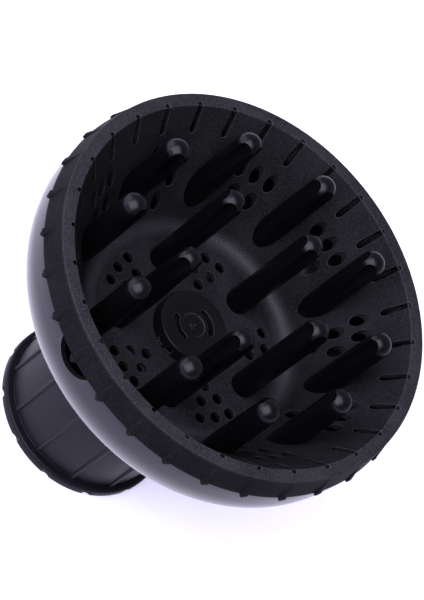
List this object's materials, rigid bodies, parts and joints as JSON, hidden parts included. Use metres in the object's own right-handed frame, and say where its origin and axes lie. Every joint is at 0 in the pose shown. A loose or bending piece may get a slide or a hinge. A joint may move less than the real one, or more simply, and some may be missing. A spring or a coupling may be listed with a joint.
{
  "type": "dryer diffuser",
  "caption": "Universal hair dryer diffuser: vented cone bowl with round-tipped prongs on a glossy shell, and a ribbed twist collar whose jaws close on the nozzle.",
  "frame": {"origin": "on the axis at the rear face of the twist collar and its cam ring, on which the diffuser stands", "axes": "+Z is the way the air blows, out of the bowl; +X points at the first inner prong and the first clamp pivot"},
  "size_m": [0.1642, 0.1646, 0.1349],
  "materials": {
    "grille": "dark charcoal moulded plastic with a fine matt grain",
    "prong": "black smooth semi-gloss plastic",
    "cap": "black satin plastic",
    "shell": "polished black plastic",
    "collar": "dark blue-grey soft-touch coating over plastic, matt",
    "neck": "black plastic as moulded",
    "clamp": "black low-friction plastic",
    "rubber": "black rubber",
    "steel": "zinc-plated steel"
  },
  "bodies": {
    "housing": {"outer_shell": "shell", "neck_tube": "neck", "friction_washer": "rubber", "shell_screw_1": "steel", "shell_screw_2": "steel", "shell_screw_3": "steel", "shell_screw_4": "steel", "jaw_pin_1": "steel", "jaw_pin_2": "steel", "jaw_pin_3": "steel", "jaw_pin_4": "steel", "jaw_pin_5": "steel", "jaw_pin_6": "steel"},
    "grille": {"front_grille": "grille", "centre_cap": "cap", "outer_prong_1": "prong", "outer_prong_2": "prong", "outer_prong_3": "prong", "outer_prong_4": "prong", "outer_prong_5": "prong", "outer_prong_6": "prong", "outer_prong_7": "prong", "outer_prong_8": "prong", "outer_prong_9": "prong", "outer_prong_10": "prong", "inner_prong_1": "prong", "inner_prong_2": "prong", "inner_prong_3": "prong", "inner_prong_4": "prong", "inner_prong_5": "prong"},
    "collar": {"twist_collar": "collar", "cam_ring": "clamp"},
    "jaw_1": {"clamp_jaw_1": "clamp", "jaw_pad_1": "rubber"},
    "jaw_2": {"clamp_jaw_2": "clamp", "jaw_pad_2": "rubber"},
    "jaw_3": {"clamp_jaw_3": "clamp", "jaw_pad_3": "rubber"},
    "jaw_4": {"clamp_jaw_4": "clamp", "jaw_pad_4": "rubber"},
    "jaw_5": {"clamp_jaw_5": "clamp", "jaw_pad_5": "rubber"},
    "jaw_6": {"clamp_jaw_6": "clamp", "jaw_pad_6": "rubber"}
  },
  "joints": [
    {"name": "grille_twist", "type": "hinge", "parent": "housing", "child": "grille", "pos_m": [0, 0, 0.106], "axis": [0, 0, 1], "range_deg": [0, 24]},
    {"name": "collar_twist", "type": "hinge", "parent": "housing", "child": "collar", "pos_m": [0, 0, 0.03], "axis": [0, 0, 1], "range_deg": [0, 42]},
    {"name": "jaw_1_swing", "type": "hinge", "parent": "housing", "child": "jaw_1", "pos_m": [0.0302, 0, 0.0095], "axis": [0, 0, 1], "range_deg": [0, 14]},
    {"name": "jaw_2_swing", "type": "hinge", "parent": "housing", "child": "jaw_2", "pos_m": [0.0151, 0.02615, 0.0095], "axis": [0, 0, 1], "range_deg": [0, 14]},
    {"name": "jaw_3_swing", "type": "hinge", "parent": "housing", "child": "jaw_3", "pos_m": [-0.0151, 0.02615, 0.0095], "axis": [0, 0, 1], "range_deg": [0, 14]},
    {"name": "jaw_4_swing", "type": "hinge", "parent": "housing", "child": "jaw_4", "pos_m": [-0.0302, 0, 0.0095], "axis": [0, 0, 1], "range_deg": [0, 14]},
    {"name": "jaw_5_swing", "type": "hinge", "parent": "housing", "child": "jaw_5", "pos_m": [-0.0151, -0.02615, 0.0095], "axis": [0, 0, 1], "range_deg": [0, 14]},
    {"name": "jaw_6_swing", "type": "hinge", "parent": "housing", "child": "jaw_6", "pos_m": [0.0151, -0.02615, 0.0095], "axis": [0, 0, 1], "range_deg": [0, 14]}
  ],
  "couplings": [
    {"joint": "jaw_1_swing", "follows": "collar_twist", "ratio": 0.3333},
    {"joint": "jaw_2_swing", "follows": "collar_twist", "ratio": 0.3333},
    {"joint": "jaw_3_swing", "follows": "collar_twist", "ratio": 0.3333},
    {"joint": "jaw_4_swing", "follows": "collar_twist", "ratio": 0.3333},
    {"joint": "jaw_5_swing", "follows": "collar_twist", "ratio": 0.3333},
    {"joint": "jaw_6_swing", "follows": "collar_twist", "ratio": 0.3333}
  ]
}
